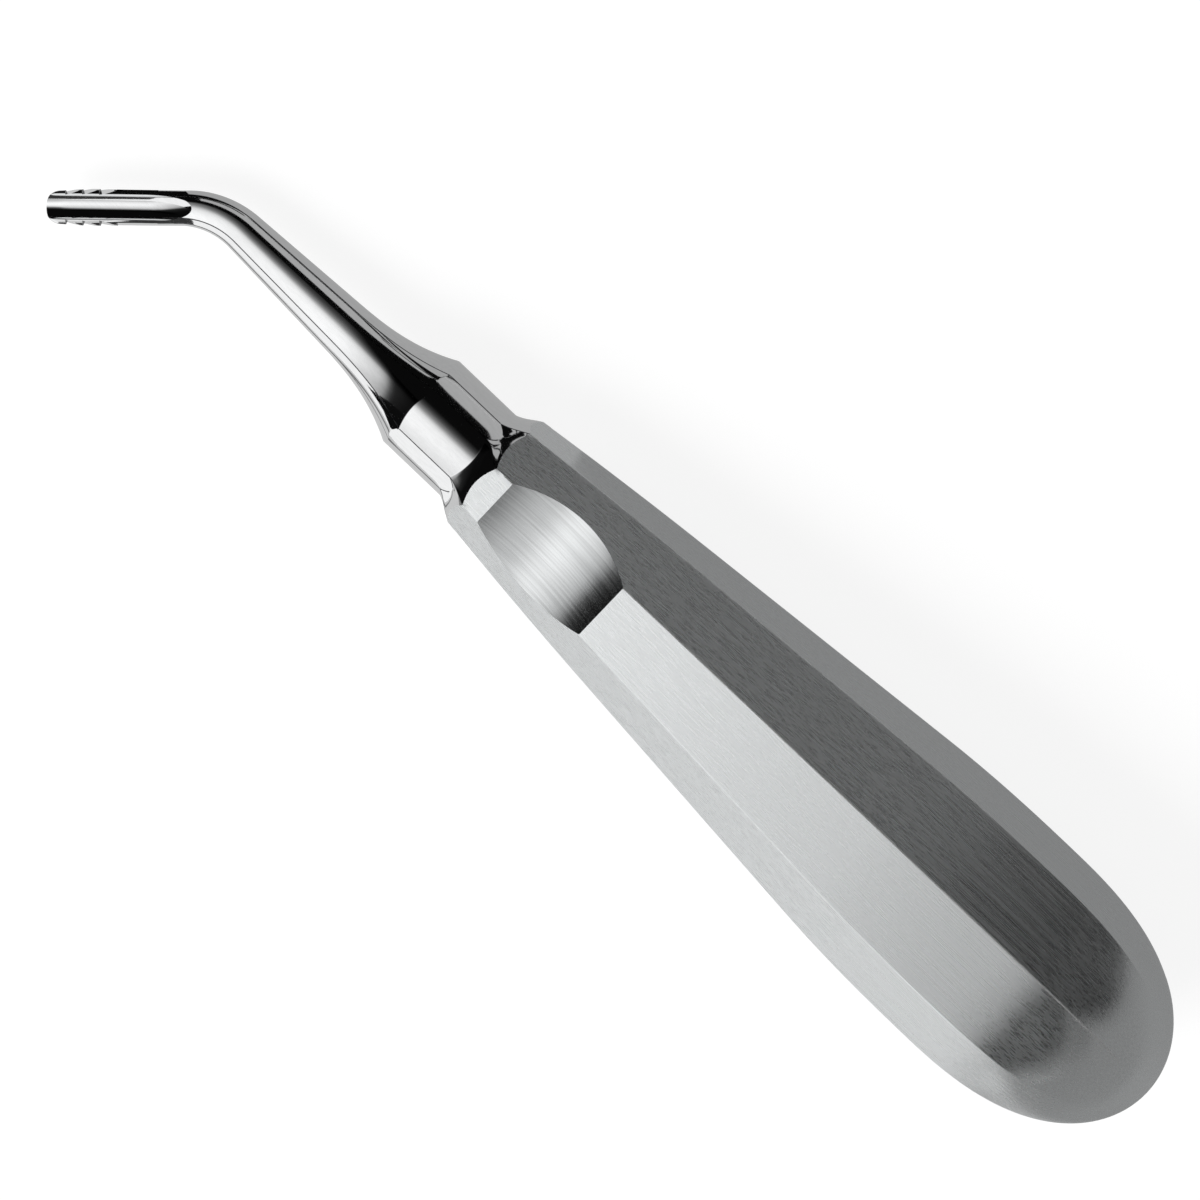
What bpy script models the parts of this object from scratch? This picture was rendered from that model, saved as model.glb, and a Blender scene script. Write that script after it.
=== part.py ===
"""Angled dental elevator: one forged steel instrument, lying on a flat of its handle, in metres, +Z up.

The body is one skin of ruled stations that runs from the butt of the handle to the tip of the blade. Every
station is a ring of points around the axis. The ring is an octagon on the handle, a crowned octagon with four
wide and four narrow sides on the collar and shank, and a flattened oval on the blade.
"""

import math

import bmesh
import bpy
from mathutils import Matrix, Vector

MM = 0.001

# Handle: a tapered octagon that swells to a belly and closes in a dome.
HANDLE_FRONT_RADIUS = 7.36 * MM
HANDLE_FRONT_LENGTH = 21.9 * MM
TAPER_LENGTH = 32.7 * MM
TAPER_SLOPE = 0.09
TAPER_START_RADIUS = 9.74 * MM
BELLY_LENGTH = 17.7 * MM
BELLY_RADIUS = 13.35 * MM
DOME_LENGTH = 23.2 * MM
DOME_POWER = 2.57
RIDGE_FADE_START = 8.0 * MM
RIDGE_FADE_END = 18.5 * MM

# Foot: what is ground level off the lowest flat of the handle.
FOOT_GRIND = 0.1 * MM

# Scalloped front of the handle and the concave flare between it and the collar.
FLARE_LENGTH = 3.0 * MM
FLARE_SWEEP = math.radians(6.0)
SCALLOP_DEPTH = 0.68 * MM

# Collar: a crowned octagon with wide and narrow sides.
COLLAR_RADIUS = 5.96 * MM
COLLAR_LENGTH = 7.45 * MM
COLLAR_WIDE_HALF = math.radians(28.5)
COLLAR_NARROW = math.radians(25.0)
COLLAR_FRONT_BOW = 0.5 * MM
COLLAR_REAR_BOW_WIDE = 0.5 * MM
COLLAR_REAR_BOW_NARROW = 1.1 * MM
CROWN_FRONT = 0.55
CROWN_SHANK = 0.3
CROWN_SIDE = 0.9
CROWN_NARROW = 0.5

# Shank: straight from the collar to the bend, with a concave flare where it meets the collar.
SHANK_LENGTH = 30.1 * MM
SHANK_RADIUS = 2.12 * MM
SHANK_REAR_RADIUS = 3.08 * MM
SHANK_FLARE_LENGTH = 12.1 * MM
SHANK_FLARE_POWER = 2.5
BEND_RADIUS = 9.5 * MM
BEND_ANGLE = math.radians(43.4)
WORKING_TURN = math.radians(-9.5)

# Blade: a gouge with a concave front, a rounded back and saw teeth on both edges.
BLADE_LENGTH = 18.7 * MM
BLADE_ROOT_HALF_WIDTH = 1.92 * MM
BLADE_TIP_HALF_WIDTH = 1.7 * MM
BLADE_TOOTH_HALF_WIDTH = 1.98 * MM
BLADE_TIP_GROWTH = 4.6 * MM
BLADE_TIP_CORNER = 1.5 * MM
BLADE_TIP_FRONT = 0.36 * MM
BLADE_TIP_BACK = 1.15 * MM
BLADE_EDGE_LENGTH = 1.3 * MM
BLADE_EDGE_BACK = 0.85 * MM
SCOOP_RADIUS = 1.72 * MM
SCOOP_DEPTH = 0.85 * MM
SCOOP_OFFSET = 0.15 * MM
SCOOP_LENGTH = 16.3 * MM
SCOOP_RUNOUT_RADIUS = 13.0 * MM
TOOTH_COUNT = 3
TOOTH_PITCH = 1.86 * MM
TOOTH_LENGTH = 1.6 * MM
TOOTH_STEP = 0.42 * MM
TOOTH_START = 2.15 * MM
TOOTH_LEAN = 0.35
LAST_TOOTH_RUNOUT = 4.5 * MM
LAST_TOOTH_STEP = 0.13 * MM

# Thumb rest: one cylindrical scoop ground across the upper flat of the handle.
REST_FROM_FRONT = 10.5 * MM
REST_DEPTH = 1.8 * MM
REST_RADIUS = 19.4 * MM

SIDES = 8
COLUMNS_PER_SIDE = 8
COLUMNS = SIDES * COLUMNS_PER_SIDE
HALF_SIDE = math.pi / SIDES

HANDLE_LENGTH = HANDLE_FRONT_LENGTH + TAPER_LENGTH + BELLY_LENGTH + DOME_LENGTH
HANDLE_START = SHANK_LENGTH + COLLAR_LENGTH + FLARE_LENGTH
TAPER_START = HANDLE_START + HANDLE_FRONT_LENGTH
TAPER_END = TAPER_START + TAPER_LENGTH
BELLY_END = TAPER_END + BELLY_LENGTH
BUTT_END = BELLY_END + DOME_LENGTH
TAPER_END_RADIUS = TAPER_START_RADIUS + TAPER_SLOPE * TAPER_LENGTH
REST_TILT = math.atan(TAPER_SLOPE * math.cos(HALF_SIDE))


def mix(a, b, k):
    return a + (b - a) * k


def smooth(k):
    k = min(max(k, 0.0), 1.0)
    return k * k * (3.0 - 2.0 * k)


def handle_radius(s):
    """Distance from the axis to a ridge of the handle at the axial place s."""
    if s < TAPER_START:
        back = TAPER_START - s
        drop = TAPER_START_RADIUS - TAPER_SLOPE * HANDLE_FRONT_LENGTH - HANDLE_FRONT_RADIUS
        return TAPER_START_RADIUS - TAPER_SLOPE * back - drop * (back / HANDLE_FRONT_LENGTH) ** 2
    if s < TAPER_END:
        return TAPER_START_RADIUS + TAPER_SLOPE * (s - TAPER_START)
    if s < BELLY_END:
        rise = BELLY_RADIUS - TAPER_END_RADIUS
        power = TAPER_SLOPE * BELLY_LENGTH / rise
        return TAPER_END_RADIUS + rise * (1.0 - (1.0 - (s - TAPER_END) / BELLY_LENGTH) ** power)
    along = min((s - BELLY_END) / DOME_LENGTH, 1.0)
    return BELLY_RADIUS * math.sqrt(max(1.0 - along**DOME_POWER, 0.0))


def side_place(column):
    """The side a column of points belongs to, and its place across that side from 0 to 1."""
    return column // COLUMNS_PER_SIDE, (column % COLUMNS_PER_SIDE) / COLUMNS_PER_SIDE


def handle_angle(column):
    side, across = side_place(column)
    return -HALF_SIDE + (side + across) * 2.0 * HALF_SIDE


def collar_corners():
    """Angles of the eight ridges of the collar, from the middle of its front side."""
    wide = COLLAR_WIDE_HALF
    side = wide + COLLAR_NARROW
    return [-wide, wide, side, math.pi - side, math.pi - wide, math.pi + wide, math.pi + side, 2 * math.pi - side]


CORNERS = collar_corners()


def collar_angle(column):
    side, across = side_place(column)
    nxt = CORNERS[side + 1] if side + 1 < SIDES else CORNERS[0] + 2.0 * math.pi
    return mix(CORNERS[side], nxt, across)


def side_span(side):
    nxt = CORNERS[side + 1] if side + 1 < SIDES else CORNERS[0] + 2.0 * math.pi
    return (CORNERS[side] + nxt) / 2.0, (nxt - CORNERS[side]) / 2.0


def flat_factor(angle, middle, half):
    """Radius of a flat side as a share of the ridge radius."""
    return math.cos(half) / math.cos(angle - middle)


def handle_factor(column, crown):
    side, across = side_place(column)
    angle = handle_angle(column)
    middle = side * 2.0 * HALF_SIDE
    return mix(flat_factor(angle, middle, HALF_SIDE), 1.0, crown)


def collar_factor(column):
    side, across = side_place(column)
    middle, half = side_span(side)
    crown = CROWN_NARROW if side % 2 else (CROWN_FRONT if side % 4 == 0 else CROWN_SIDE)
    return mix(flat_factor(collar_angle(column), middle, half), 1.0, crown)


def shank_factor(column):
    """As the collar's, with flatter front and back sides."""
    side, across = side_place(column)
    if side % 4:
        return collar_factor(column)
    middle, half = side_span(side)
    return mix(flat_factor(collar_angle(column), middle, half), 1.0, CROWN_SHANK)


def bow(column):
    """One in the middle of a side and zero at its ridges."""
    side, across = side_place(column)
    return 1.0 - (2.0 * across - 1.0) ** 2


def axis_point(s, radius, angle):
    """A point around the straight axis. The axis runs along -X, and the angle turns from +Z to +Y."""
    return Vector((-s, radius * math.sin(angle), radius * math.cos(angle)))


def handle_rows():
    """Stations from the butt to the scalloped front of the handle."""
    rows = []
    for i in range(1, 19):
        turn = i / 18.0 * math.pi / 2.0
        s = BELLY_END + DOME_LENGTH * math.cos(turn)
        rows.append(s)
    rows += [BELLY_END - BELLY_LENGTH * i / 6.0 for i in range(1, 7)]
    rows += [TAPER_END - TAPER_LENGTH * i / 4.0 for i in range(1, 5)]
    rings = []
    for s in rows:
        past = s - BELLY_END
        crown = smooth((past - RIDGE_FADE_START) / (RIDGE_FADE_END - RIDGE_FADE_START))
        rings.append(
            [axis_point(s, handle_radius(s) * handle_factor(c, crown), handle_angle(c)) for c in range(COLUMNS)]
        )
    for i in range(1, 9):
        ring = []
        for c in range(COLUMNS):
            front = HANDLE_START - SCALLOP_DEPTH * bow(c)
            s = mix(TAPER_START, front, i / 8.0)
            ring.append(axis_point(s, handle_radius(s) * handle_factor(c, 0.0), handle_angle(c)))
        rings.append(ring)
    return rings


def flare_rows():
    """The concave flare between the handle and the collar, then the collar itself."""
    rings = []
    steps = 8
    for i in range(1, steps + 1):
        ring = []
        for c in range(COLUMNS):
            side, across = side_place(c)
            s_back = HANDLE_START - SCALLOP_DEPTH * bow(c)
            r_back = handle_radius(s_back) * handle_factor(c, 0.0)
            rear_bow = COLLAR_REAR_BOW_NARROW if side % 2 else COLLAR_REAR_BOW_WIDE
            s_front = SHANK_LENGTH + COLLAR_LENGTH + rear_bow * bow(c)
            r_front = COLLAR_RADIUS * collar_factor(c)
            slope = math.atan((r_back - r_front) / (s_back - s_front))
            turn = slope + FLARE_SWEEP * (1.0 - 2.0 * i / steps)
            arc = (s_back - s_front) / (2.0 * math.cos(slope) * math.sin(FLARE_SWEEP))
            s = s_front + arc * (math.sin(turn) - math.sin(slope - FLARE_SWEEP))
            r = r_front + arc * (math.cos(slope - FLARE_SWEEP) - math.cos(turn))
            angle = mix(handle_angle(c), collar_angle(c) + WORKING_TURN, smooth(i / steps))
            ring.append(axis_point(s, r, angle))
        rings.append(ring)
    for i in range(1, 3):
        ring = []
        for c in range(COLUMNS):
            side, across = side_place(c)
            rear_bow = COLLAR_REAR_BOW_NARROW if side % 2 else COLLAR_REAR_BOW_WIDE
            s_back = SHANK_LENGTH + COLLAR_LENGTH + rear_bow * bow(c)
            s_front = SHANK_LENGTH - COLLAR_FRONT_BOW * bow(c)
            s = mix(s_back, s_front, i / 2.0)
            ring.append(axis_point(s, COLLAR_RADIUS * collar_factor(c), collar_angle(c) + WORKING_TURN))
        rings.append(ring)
    return rings


def shank_radius(s):
    """Distance from the axis to a ridge of the shank at the axial place s."""
    straight = SHANK_LENGTH - SHANK_FLARE_LENGTH
    taper = (SHANK_REAR_RADIUS - SHANK_RADIUS) / straight
    base = SHANK_RADIUS + taper * s
    if s < straight:
        return base
    rise = COLLAR_RADIUS - SHANK_RADIUS - taper * SHANK_LENGTH
    return base + rise * ((s - straight) / SHANK_FLARE_LENGTH) ** SHANK_FLARE_POWER


BEND_REACH = BEND_RADIUS * math.tan(BEND_ANGLE / 2.0)
FRONT_WAY = Vector((0.0, math.sin(WORKING_TURN), math.cos(WORKING_TURN)))
BEND_WAY = Vector((0.0, math.cos(WORKING_TURN), -math.sin(WORKING_TURN)))
BLADE_WAY = Vector((math.cos(BEND_ANGLE), 0.0, 0.0)) + BEND_WAY * math.sin(BEND_ANGLE)
BLADE_SIDE = BEND_WAY * math.cos(BEND_ANGLE) - Vector((math.sin(BEND_ANGLE), 0.0, 0.0))


def shank_rows():
    """The straight shank, from just ahead of the collar to the start of the bend."""
    rings = []
    steps = 9
    for i in range(1, steps + 1):
        ring = []
        for c in range(COLUMNS):
            back = SHANK_LENGTH - COLLAR_FRONT_BOW * bow(c)
            s = mix(back, SHANK_LENGTH - SHANK_FLARE_LENGTH, (i / steps) ** 1.25)
            share = (s - (SHANK_LENGTH - SHANK_FLARE_LENGTH)) / (back - (SHANK_LENGTH - SHANK_FLARE_LENGTH))
            r = shank_radius(mix(SHANK_LENGTH - SHANK_FLARE_LENGTH, SHANK_LENGTH, share))
            factor = mix(shank_factor(c), collar_factor(c), smooth(share))
            ring.append(axis_point(s, r * factor, collar_angle(c) + WORKING_TURN))
        rings.append(ring)
    for i in range(1, 5):
        s = mix(SHANK_LENGTH - SHANK_FLARE_LENGTH, BEND_REACH, i / 4.0)
        rings.append(
            [axis_point(s, shank_radius(s) * shank_factor(c), collar_angle(c) + WORKING_TURN) for c in range(COLUMNS)]
        )
    return rings


def tip_outline(from_tip):
    """Half width, front height and back depth of the blade at a distance from the tip."""
    along = min(from_tip / SCOOP_LENGTH, 1.0)
    half = mix(BLADE_TIP_HALF_WIDTH, BLADE_TOOTH_HALF_WIDTH, min(from_tip / BLADE_TIP_GROWTH, 1.0))
    half = mix(half, BLADE_ROOT_HALF_WIDTH, smooth(from_tip / BLADE_TIP_GROWTH - 1.0))
    if from_tip < BLADE_TIP_CORNER:
        rest = BLADE_TIP_CORNER - from_tip
        half -= BLADE_TIP_CORNER - math.sqrt(max(BLADE_TIP_CORNER**2 - rest**2, 0.0))
    front = mix(BLADE_TIP_FRONT, BLADE_ROOT_HALF_WIDTH, along**1.3)
    back = mix(BLADE_TIP_BACK, BLADE_ROOT_HALF_WIDTH, along**1.1)
    edge = min(from_tip / BLADE_EDGE_LENGTH, 1.0)
    back = mix(BLADE_EDGE_BACK, back, edge)
    return half, front, back


def blade_ring(centre, side_way, front_way, radius, from_tip):
    """One station of the bend or blade: the shank's section turns into the blade's flattened oval."""
    half, front, back = tip_outline(from_tip)
    blade_share = smooth((BLADE_LENGTH - BEND_REACH * 0.4 - from_tip) / (BLADE_LENGTH * 0.62))
    ring = []
    for c in range(COLUMNS):
        angle = collar_angle(c)
        r = radius * shank_factor(c)
        across = math.sin(angle)
        up = math.cos(angle)
        oval_x = half * math.copysign(abs(across) ** 0.8, across)
        oval_z = (front if up > 0 else back) * math.copysign(abs(up) ** 0.85, up)
        x = mix(r * across, oval_x, blade_share)
        z = mix(r * up, oval_z, blade_share)
        ring.append(centre + side_way * x + front_way * z)
    return ring


def blade_rows():
    """The bend, then the blade out to its tip."""
    rings = []
    steps = 10
    turn_centre = Vector((-BEND_REACH, 0.0, 0.0)) + BEND_WAY * BEND_RADIUS
    arc = BEND_RADIUS * BEND_ANGLE
    straight = BLADE_LENGTH - BEND_REACH
    for i in range(1, steps + 1):
        turn = BEND_ANGLE * i / steps
        outward = Vector((math.sin(turn), 0.0, 0.0)) - BEND_WAY * math.cos(turn)
        centre = turn_centre + outward * BEND_RADIUS
        side_way = BEND_WAY * math.cos(turn) - Vector((math.sin(turn), 0.0, 0.0))
        radius = mix(shank_radius(BEND_REACH), BLADE_ROOT_HALF_WIDTH, i / steps)
        from_tip = straight + arc * (1.0 - i / steps)
        rings.append(blade_ring(centre, side_way, FRONT_WAY, radius, from_tip))
    distances = [mix(straight, BLADE_TIP_CORNER, i / 13.0) for i in range(1, 13)]
    distances += [BLADE_TIP_CORNER * (1.0 - math.sin(k * math.pi / 10.0)) for k in range(6)]
    for from_tip in distances:
        centre = BLADE_WAY * (BLADE_LENGTH - from_tip)
        rings.append(blade_ring(centre, BLADE_SIDE, FRONT_WAY, BLADE_ROOT_HALF_WIDTH, from_tip))
    return rings


def skin(name, rings, first_pole):
    """A closed mesh through the rings, with a fan on its first pole and a flat cap on its last ring."""
    mesh = bpy.data.meshes.new(name)
    bm = bmesh.new()
    pole = bm.verts.new(first_pole)
    loops = [[bm.verts.new(point) for point in ring] for ring in rings]
    count = len(rings[0])
    for c in range(count):
        bm.faces.new((pole, loops[0][c], loops[0][(c + 1) % count]))
    for a, b in zip(loops[:-1], loops[1:]):
        for c in range(count):
            d = (c + 1) % count
            bm.faces.new((a[c], b[c], b[d], a[d]))
    bm.faces.new(loops[-1])
    bmesh.ops.recalc_face_normals(bm, faces=bm.faces)
    bm.to_mesh(mesh)
    bm.free()
    obj = bpy.data.objects.new(name, mesh)
    bpy.context.scene.collection.objects.link(obj)
    return obj


def hide_cutter(obj):
    obj.hide_render = True
    obj.display_type = "WIRE"


def cut(obj, cutter):
    hide_cutter(cutter)
    modifier = obj.modifiers.new("cut_" + cutter.name, "BOOLEAN")
    modifier.operation = "DIFFERENCE"
    modifier.solver = "EXACT"
    modifier.object = cutter


def solid_of(name, rings):
    """A closed mesh through open rings, with a flat cap at each end."""
    mesh = bpy.data.meshes.new(name)
    bm = bmesh.new()
    loops = [[bm.verts.new(point) for point in ring] for ring in rings]
    count = len(rings[0])
    for a, b in zip(loops[:-1], loops[1:]):
        for c in range(count):
            d = (c + 1) % count
            bm.faces.new((a[c], b[c], b[d], a[d]))
    bm.faces.new(loops[0])
    bm.faces.new(loops[-1])
    bmesh.ops.recalc_face_normals(bm, faces=bm.faces)
    bm.to_mesh(mesh)
    bm.free()
    obj = bpy.data.objects.new(name, mesh)
    bpy.context.scene.collection.objects.link(obj)
    return obj


def thumb_cutter():
    """A cylinder across the handle that grinds the thumb rest."""
    along = HANDLE_START + REST_FROM_FRONT
    flat = handle_radius(along) * math.cos(HALF_SIDE)
    slope = (handle_radius(along + MM) - handle_radius(along - MM)) / (2.0 * MM) * math.cos(HALF_SIDE)
    lean = math.atan(slope)
    centre = Vector((-along, 0.0, flat - REST_DEPTH)) + Vector((math.sin(lean), 0.0, math.cos(lean))) * REST_RADIUS
    reach = 2.0 * HANDLE_FRONT_RADIUS
    count = 256
    rings = []
    for y in (-reach, reach):
        ring = []
        for k in range(count):
            turn = 2.0 * math.pi * (k + 0.5) / count
            ring.append(centre + Vector((REST_RADIUS * math.sin(turn), y, REST_RADIUS * math.cos(turn))))
        rings.append(ring)
    return solid_of("thumb_rest_cutter", rings)


def blade_point(from_tip, x, z):
    return BLADE_WAY * (BLADE_LENGTH - from_tip) + BLADE_SIDE * x + FRONT_WAY * z


def scoop_cutter():
    """A round bar that follows the floor of the scoop and lifts out of the blade at the shank end."""
    def floor(from_tip):
        half, front, back = tip_outline(max(from_tip, BLADE_TIP_CORNER))
        return front - SCOOP_DEPTH

    lift_start = SCOOP_LENGTH - math.sqrt(SCOOP_RUNOUT_RADIUS**2 - (SCOOP_RUNOUT_RADIUS - SCOOP_DEPTH) ** 2)
    slope = (floor(lift_start) - floor(lift_start - MM)) / MM
    path = []
    for k in range(9):
        from_tip = mix(-1.5 * MM, lift_start, k / 8.0)
        path.append((from_tip, floor(from_tip) + SCOOP_RADIUS, 0.0))
    start_lean = math.atan(slope)
    bar_turn = SCOOP_RUNOUT_RADIUS - SCOOP_RADIUS
    pivot = (
        lift_start - SCOOP_RUNOUT_RADIUS * math.sin(start_lean),
        floor(lift_start) + SCOOP_RUNOUT_RADIUS * math.cos(start_lean),
    )
    for k in range(1, 10):
        lean = start_lean + math.radians(56.0) * k / 9.0
        path.append((pivot[0] + bar_turn * math.sin(lean), pivot[1] - bar_turn * math.cos(lean), lean))
    rings = []
    count = 40
    for from_tip, height, lean in path:
        if lean == 0.0:
            lean = start_lean
        ring = []
        for k in range(count):
            turn = 2.0 * math.pi * (k + 0.5) / count
            x = SCOOP_RADIUS * math.sin(turn) - SCOOP_OFFSET
            up = SCOOP_RADIUS * math.cos(turn)
            ring.append(blade_point(from_tip - up * math.sin(lean), x, height + up * math.cos(lean)))
        rings.append(ring)
    return solid_of("scoop_cutter", rings)


def tooth_cutter():
    """Wedges that grind the barbed teeth: each starts deep at its tip end and runs out toward the shank."""
    mesh = bpy.data.meshes.new("tooth_cutter")
    bm = bmesh.new()
    out = 2.4 * MM
    for way in (-1.0, 1.0):
        for k in range(TOOTH_COUNT + 1):
            last = k == TOOTH_COUNT
            near = TOOTH_START + TOOTH_PITCH * k
            far = near + (LAST_TOOTH_RUNOUT if last else TOOTH_LENGTH)
            half_near = tip_outline(near)[0] - (LAST_TOOTH_STEP if last else TOOTH_STEP)
            half_far = tip_outline(far)[0] + 0.02 * MM
            rings = []
            for z in (-3.0 * MM, 3.0 * MM):
                tilt = TOOTH_LEAN * z
                rings.append(
                    [
                        bm.verts.new(blade_point(near, way * (half_near - tilt), z)),
                        bm.verts.new(blade_point(far, way * (half_far - tilt), z)),
                        bm.verts.new(blade_point(far, way * (half_far + out), z)),
                        bm.verts.new(blade_point(near, way * (half_near + out), z)),
                    ]
                )
            low, high = rings
            for c in range(4):
                d = (c + 1) % 4
                bm.faces.new((low[c], high[c], high[d], low[d]))
            bm.faces.new(low)
            bm.faces.new(high)
    bmesh.ops.recalc_face_normals(bm, faces=bm.faces)
    bm.to_mesh(mesh)
    bm.free()
    obj = bpy.data.objects.new("tooth_cutter", mesh)
    bpy.context.scene.collection.objects.link(obj)
    return obj


def steel(name, colour, roughness):
    material = bpy.data.materials.new(name)
    material.use_nodes = True
    shader = material.node_tree.nodes["Principled BSDF"]
    shader.inputs["Base Color"].default_value = (*colour, 1.0)
    shader.inputs["Metallic"].default_value = 1.0
    shader.inputs["Roughness"].default_value = roughness
    material.diffuse_color = (*colour, 1.0)
    return material


def rest_pose(objects):
    """Turns everything so that the lower handle flat lies on Z = 0, with the footprint centred on the origin."""
    turn = Matrix.Rotation(REST_TILT, 4, "Y")
    for obj in objects:
        obj.data.transform(turn)
    points = [vert.co for vert in objects[0].data.vertices]
    low = Vector([min(p[i] for p in points) for i in range(3)])
    high = Vector([max(p[i] for p in points) for i in range(3)])
    shift = Matrix.Translation(Vector((-(low.x + high.x) / 2.0, -(low.y + high.y) / 2.0, -low.z - FOOT_GRIND)))
    for obj in objects:
        obj.data.transform(shift)
    for vert in objects[0].data.vertices:
        vert.co.z = max(vert.co.z, 0.0)


def main():
    for obj in list(bpy.data.objects):
        bpy.data.objects.remove(obj, do_unlink=True)
    rings = handle_rows() + flare_rows() + shank_rows() + blade_rows()
    body = skin("elevator", rings, Vector((-BUTT_END, 0.0, 0.0)))
    cutters = [thumb_cutter(), scoop_cutter(), tooth_cutter()]
    for cutter in cutters:
        cut(body, cutter)
    rest_pose([body] + cutters)
    body.data.shade_smooth()
    body.data.set_sharp_from_angle(angle=math.radians(18.0))
    body.data.materials.append(steel("polished_steel", (0.62, 0.63, 0.64), 0.22))


main()
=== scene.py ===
"""Angled dental elevator: a satin steel handle and a mirror-polished neck, shank and gouge blade."""

import math

import bmesh
import bpy
from bpy.props import FloatProperty, FloatVectorProperty, IntProperty, PointerProperty
from bpy.types import Operator, Panel, PropertyGroup
from mathutils import Matrix, Vector


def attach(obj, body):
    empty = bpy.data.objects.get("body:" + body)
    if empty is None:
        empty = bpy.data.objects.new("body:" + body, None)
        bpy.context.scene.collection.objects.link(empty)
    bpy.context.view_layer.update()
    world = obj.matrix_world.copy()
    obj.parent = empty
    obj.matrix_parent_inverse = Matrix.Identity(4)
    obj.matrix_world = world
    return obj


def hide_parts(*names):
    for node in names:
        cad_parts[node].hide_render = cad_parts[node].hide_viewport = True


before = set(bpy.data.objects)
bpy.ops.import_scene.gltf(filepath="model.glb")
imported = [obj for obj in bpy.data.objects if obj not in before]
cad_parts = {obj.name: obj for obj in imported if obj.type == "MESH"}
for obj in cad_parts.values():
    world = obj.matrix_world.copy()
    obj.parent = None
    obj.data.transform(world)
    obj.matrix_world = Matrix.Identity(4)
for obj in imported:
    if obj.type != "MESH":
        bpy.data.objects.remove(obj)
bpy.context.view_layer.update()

bl_info = {
    "name": "Angled dental elevator",
    "version": (1, 0, 0),
    "blender": (4, 5, 0),
    "location": "View3D > Sidebar > Elevator",
    "description": "Builds a steel dental elevator and a pale studio around it",
    "category": "Object",
}

MM = 0.001

# Handle: a tapered octagon that swells to a belly and closes in a dome.
HANDLE_FRONT_RADIUS = 7.36 * MM
HANDLE_FRONT_LENGTH = 21.9 * MM
TAPER_LENGTH = 32.7 * MM
TAPER_SLOPE = 0.09
TAPER_START_RADIUS = 9.74 * MM
BELLY_LENGTH = 17.7 * MM
BELLY_RADIUS = 13.35 * MM
DOME_LENGTH = 23.2 * MM
DOME_POWER = 2.57
RIDGE_FADE_START = 8.0 * MM
RIDGE_FADE_END = 18.5 * MM

# Foot: what is ground level off the lowest flat of the handle.
FOOT_GRIND = 0.1 * MM

# Scalloped front of the handle and the concave flare between it and the collar.
FLARE_LENGTH = 3.0 * MM
FLARE_SWEEP = math.radians(6.0)
SCALLOP_DEPTH = 0.68 * MM

# Collar: a crowned octagon with wide and narrow sides.
COLLAR_RADIUS = 5.96 * MM
COLLAR_LENGTH = 7.45 * MM
COLLAR_WIDE_HALF = math.radians(28.5)
COLLAR_NARROW = math.radians(25.0)
COLLAR_FRONT_BOW = 0.5 * MM
COLLAR_REAR_BOW_WIDE = 0.5 * MM
COLLAR_REAR_BOW_NARROW = 1.1 * MM
CROWN_FRONT = 0.55
CROWN_SHANK = 0.3
CROWN_SIDE = 0.9
CROWN_NARROW = 0.5

# Shank: straight from the collar to the bend, with a concave flare where it meets the collar.
SHANK_LENGTH = 30.1 * MM
SHANK_RADIUS = 2.12 * MM
SHANK_REAR_RADIUS = 3.08 * MM
SHANK_FLARE_LENGTH = 12.1 * MM
SHANK_FLARE_POWER = 2.5
SHANK_RING_CROWDING = 1.15
BEND_RADIUS = 9.5 * MM
BEND_ANGLE = math.radians(43.4)
WORKING_TURN = math.radians(-9.5)

# Blade: a gouge with a concave front, a rounded back and saw teeth on both edges.
BLADE_LENGTH = 18.7 * MM
BLADE_ROOT_HALF_WIDTH = 1.92 * MM
BLADE_TIP_HALF_WIDTH = 1.7 * MM
BLADE_TOOTH_HALF_WIDTH = 1.98 * MM
BLADE_TIP_GROWTH = 4.6 * MM
BLADE_TIP_CORNER = 1.5 * MM
BLADE_TIP_FRONT = 0.36 * MM
BLADE_TIP_BACK = 1.15 * MM
BLADE_EDGE_LENGTH = 1.3 * MM
BLADE_EDGE_BACK = 0.85 * MM
BLADE_FRONT_GROWTH = 1.3
BLADE_BACK_GROWTH = 1.1
BLADE_SIDE_FULLNESS = 0.8
BLADE_FACE_FULLNESS = 0.85
OVAL_START = 0.4
OVAL_REACH = 0.62
SCOOP_RADIUS = 1.72 * MM
SCOOP_DEPTH = 0.85 * MM
SCOOP_OFFSET = 0.15 * MM
SCOOP_LENGTH = 16.3 * MM
SCOOP_RUNOUT_RADIUS = 13.0 * MM
TOOTH_COUNT = 3
TOOTH_PITCH = 1.86 * MM
TOOTH_LENGTH = 1.6 * MM
TOOTH_STEP = 0.42 * MM
TOOTH_START = 2.15 * MM
TOOTH_LEAN = 0.35
LAST_TOOTH_RUNOUT = 4.5 * MM
LAST_TOOTH_STEP = 0.13 * MM

# Thumb rest: one cylindrical scoop ground across the upper flat of the handle.
REST_FROM_FRONT = 10.5 * MM
REST_DEPTH = 1.8 * MM
REST_RADIUS = 19.4 * MM

SIDES = 8
HALF_SIDE = math.pi / SIDES
HANDLE_START = SHANK_LENGTH + COLLAR_LENGTH + FLARE_LENGTH
TAPER_START = HANDLE_START + HANDLE_FRONT_LENGTH
TAPER_END = TAPER_START + TAPER_LENGTH
BELLY_END = TAPER_END + BELLY_LENGTH
BUTT_END = BELLY_END + DOME_LENGTH
TAPER_END_RADIUS = TAPER_START_RADIUS + TAPER_SLOPE * TAPER_LENGTH
REST_TILT = math.atan(TAPER_SLOPE * math.cos(HALF_SIDE))

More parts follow.
